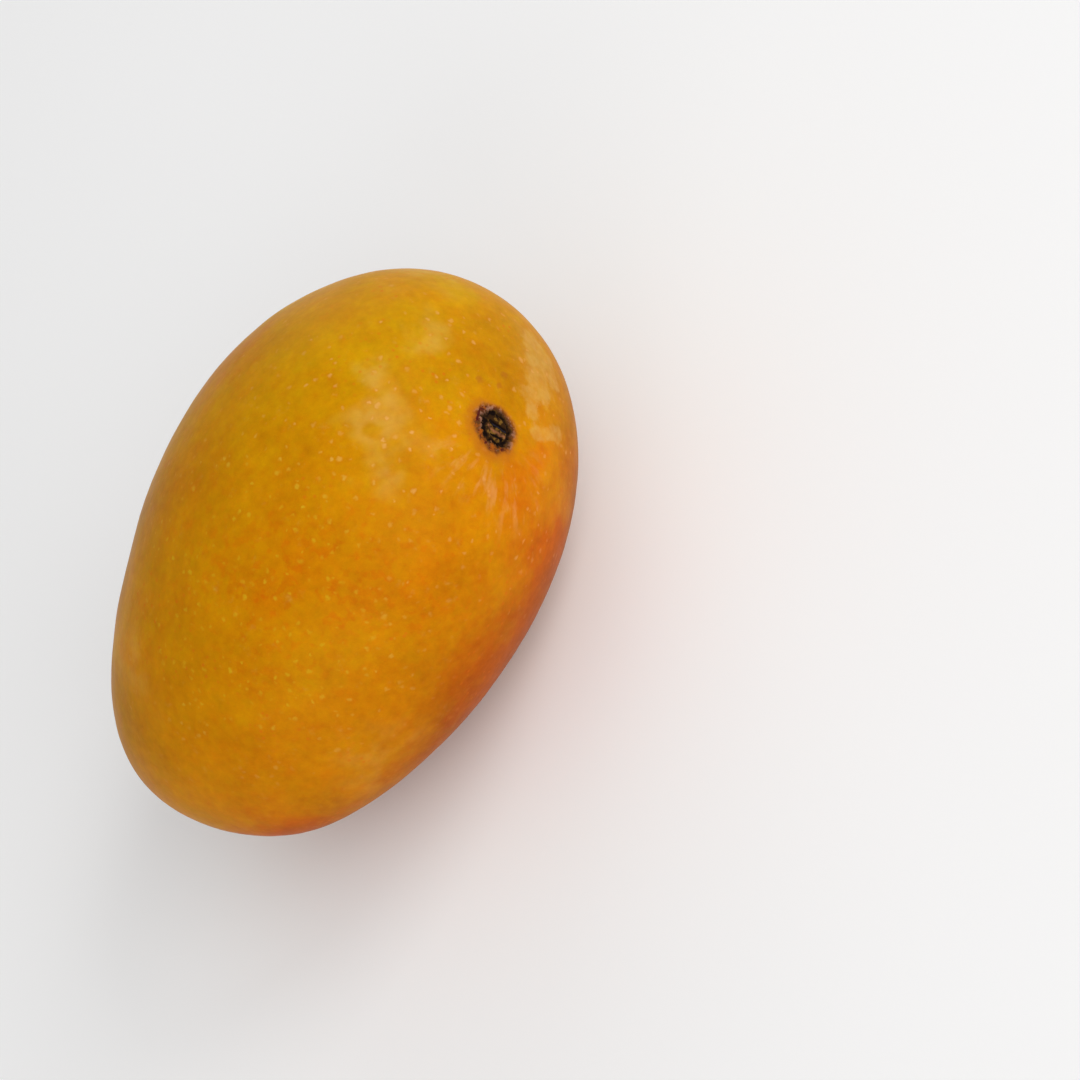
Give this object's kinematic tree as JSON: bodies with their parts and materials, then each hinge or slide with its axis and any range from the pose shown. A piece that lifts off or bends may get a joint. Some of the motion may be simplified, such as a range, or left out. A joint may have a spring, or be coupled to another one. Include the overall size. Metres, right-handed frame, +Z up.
{
  "type": "mango",
  "caption": "Ripe mango lying on its cheek: a smooth, slightly lopsided egg with a broad slanted shoulder and a small round sunken stem scar off to one side of it.",
  "frame": {"origin": "under the middle of the fruit's box, on the surface that it rests on", "axes": "+X along the length towards the broad stem end, -Y towards the side that the stem scar leans to, +Z up through the cheeks"},
  "size_m": [0.099, 0.0712, 0.0622],
  "materials": {
    "mango_skin": "satin, waxy, yellow-orange"
  },
  "bodies": {
    "root": {"mango": "mango_skin"}
  },
  "joints": []
}
